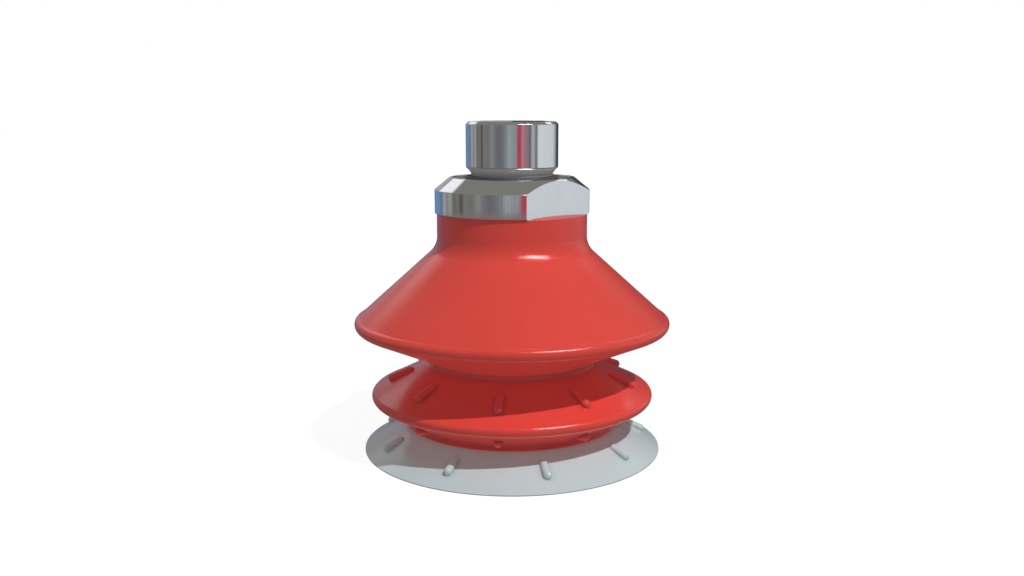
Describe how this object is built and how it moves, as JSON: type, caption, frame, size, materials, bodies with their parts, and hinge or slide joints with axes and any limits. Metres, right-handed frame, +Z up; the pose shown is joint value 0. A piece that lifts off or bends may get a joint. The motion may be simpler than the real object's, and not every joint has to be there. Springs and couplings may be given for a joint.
{
  "type": "vacuum suction cup",
  "caption": "Bellows suction cup in firm red elastomer with a soft grey sealing lip, clamped under a plated metal fitting with a round threaded nipple and wrench flats.",
  "frame": {"origin": "centre of the plane that the sealing lip rests on", "axes": "+Z up the cup's axis towards the threaded nipple; one wrench flat faces between +X and -Y"},
  "size_m": [0.0578, 0.0578, 0.06],
  "materials": {
    "nickel_plate": "polished",
    "stainless_steel": "satin",
    "black_seal_rubber": "satin",
    "black_plastic": "matte",
    "red_polyurethane": "gloss",
    "grey_polyurethane": "satin"
  },
  "bodies": {
    "fitting": {"fitting_body": "nickel_plate", "thread_seal_ring": "black_seal_rubber", "neck_seal_ring": "black_seal_rubber", "clamp_screw": "nickel_plate", "clamp_washer": "stainless_steel", "filter_mesh": "stainless_steel", "filter_rim": "black_plastic", "filter_circlip": "stainless_steel", "bellows_neck": "red_polyurethane"},
    "upper_rim": {"upper_cone_wall": "red_polyurethane", "upper_rim_bead": "red_polyurethane"},
    "waist": {"upper_return_wall": "red_polyurethane", "waist_ring": "red_polyurethane"},
    "lower_rim": {"lower_cone_wall": "red_polyurethane", "lower_rim_bead": "red_polyurethane"},
    "lip_carrier": {"lower_return_wall": "red_polyurethane", "lip_carrier_ring": "red_polyurethane"},
    "lip": {"lip_wall": "grey_polyurethane", "lip_edge": "grey_polyurethane"}
  },
  "joints": [
    {"name": "upper_cone_stroke", "type": "slide", "parent": "fitting", "child": "upper_rim", "axis": [0, 0, 1], "range_m": [0, 0.008], "stiffness_N_per_m": 3000, "deforming": ["upper_cone_wall"]},
    {"name": "upper_return_stroke", "type": "slide", "parent": "upper_rim", "child": "waist", "axis": [0, 0, 1], "range_m": [0, 0.0043], "stiffness_N_per_m": 6000, "deforming": ["upper_return_wall"]},
    {"name": "lower_cone_stroke", "type": "slide", "parent": "waist", "child": "lower_rim", "axis": [0, 0, 1], "range_m": [0, 0.0037], "stiffness_N_per_m": 7000, "deforming": ["lower_cone_wall"]},
    {"name": "lower_fold_tilt", "type": "hinge", "parent": "lower_rim", "child": "lip_carrier", "pos_m": [0, 0, 0.0075], "axis": [1, 0, 0], "range_deg": [-6, 6], "stiffness_Nm_per_rad": 0.6, "deforming": ["lower_return_wall"]},
    {"name": "lip_tilt", "type": "hinge", "parent": "lip_carrier", "child": "lip", "pos_m": [0, 0, 0.0035], "axis": [0, 1, 0], "range_deg": [-6, 6], "stiffness_Nm_per_rad": 0.6, "deforming": ["lip_wall"]}
  ],
  "couplings": [
    {"joint": "upper_return_stroke", "follows": "upper_cone_stroke", "ratio": 0.5375},
    {"joint": "lower_cone_stroke", "follows": "upper_cone_stroke", "ratio": 0.4625}
  ]
}
